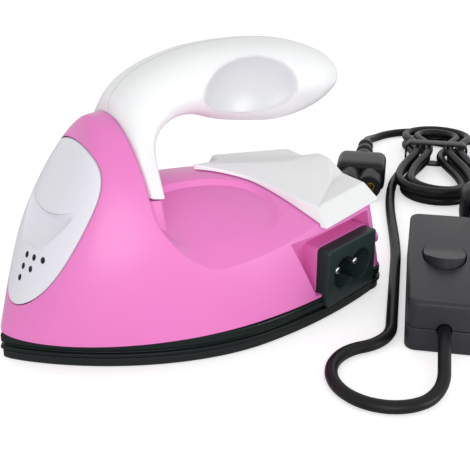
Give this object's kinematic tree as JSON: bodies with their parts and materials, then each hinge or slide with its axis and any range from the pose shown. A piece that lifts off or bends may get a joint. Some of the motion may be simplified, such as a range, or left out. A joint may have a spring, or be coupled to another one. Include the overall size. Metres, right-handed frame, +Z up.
{
  "type": "mini heat press iron",
  "caption": "Small craft iron with a moulded body, looped handle, faceted rear cover, flat soleplate and a detachable cord set with a rocker switch.",
  "frame": {"origin": "middle of the iron's footprint, on the surface it stands on, without the cord set", "axes": "+X towards the heel, -X towards the nose, -Y towards the side with the mains inlet, +Z up from the soleplate"},
  "size_m": [0.2375, 0.1625, 0.0758],
  "materials": {
    "steel": "satin",
    "brass": "satin",
    "pink_shell": "gloss",
    "white_plastic": "gloss",
    "pale_panel": "gloss",
    "black_plastic": "gloss",
    "coated_soleplate": "satin non-stick coating",
    "cord_black": "satin",
    "ceramic": "matte ceramic"
  },
  "bodies": {
    "iron_and_cord": {"soleplate": "coated_soleplate", "base_skirt": "black_plastic", "body_shell": "pink_shell", "front_panel": "pale_panel", "handle_left": "white_plastic", "handle_right": "white_plastic", "handle_screw_front": "steel", "handle_screw_rear": "steel", "rear_cover": "white_plastic", "inlet_housing": "black_plastic", "inlet_pin_front": "steel", "inlet_pin_rear": "steel", "heater_block": "ceramic", "heater_clamp": "steel", "clamp_screw_front": "steel", "clamp_screw_rear": "steel", "base_screw_front": "steel", "base_screw_left": "steel", "base_screw_right": "steel", "thermostat": "steel", "thermal_fuse": "ceramic", "shell_screw": "steel", "wire_inlet_live": "cord_black", "wire_inlet_neutral": "cord_black", "wire_fuse_rear": "cord_black", "wire_fuse_front": "cord_black", "switch_base": "cord_black", "switch_cover": "cord_black", "switch_screw_near": "steel", "switch_screw_far": "steel", "switch_terminal_near": "brass", "switch_terminal_far": "brass", "cord_lane": "cord_black", "cord_hank": "cord_black", "cord_lead": "cord_black", "cord_short": "cord_black", "cord_tie": "cord_black", "connector_body": "cord_black", "connector_sleeve_left": "brass", "connector_sleeve_right": "brass", "plug_body": "cord_black", "plug_blade_left": "steel", "plug_blade_right": "steel"},
    "rocker": {"switch_rocker": "cord_black"}
  },
  "joints": [
    {"name": "rocker_tilt", "type": "hinge", "parent": "iron_and_cord", "child": "rocker", "pos_m": [0.0614, -0.042, 0.0122], "axis": [0.7071, -0.7071, 0], "range_deg": [0, 16]}
  ]
}
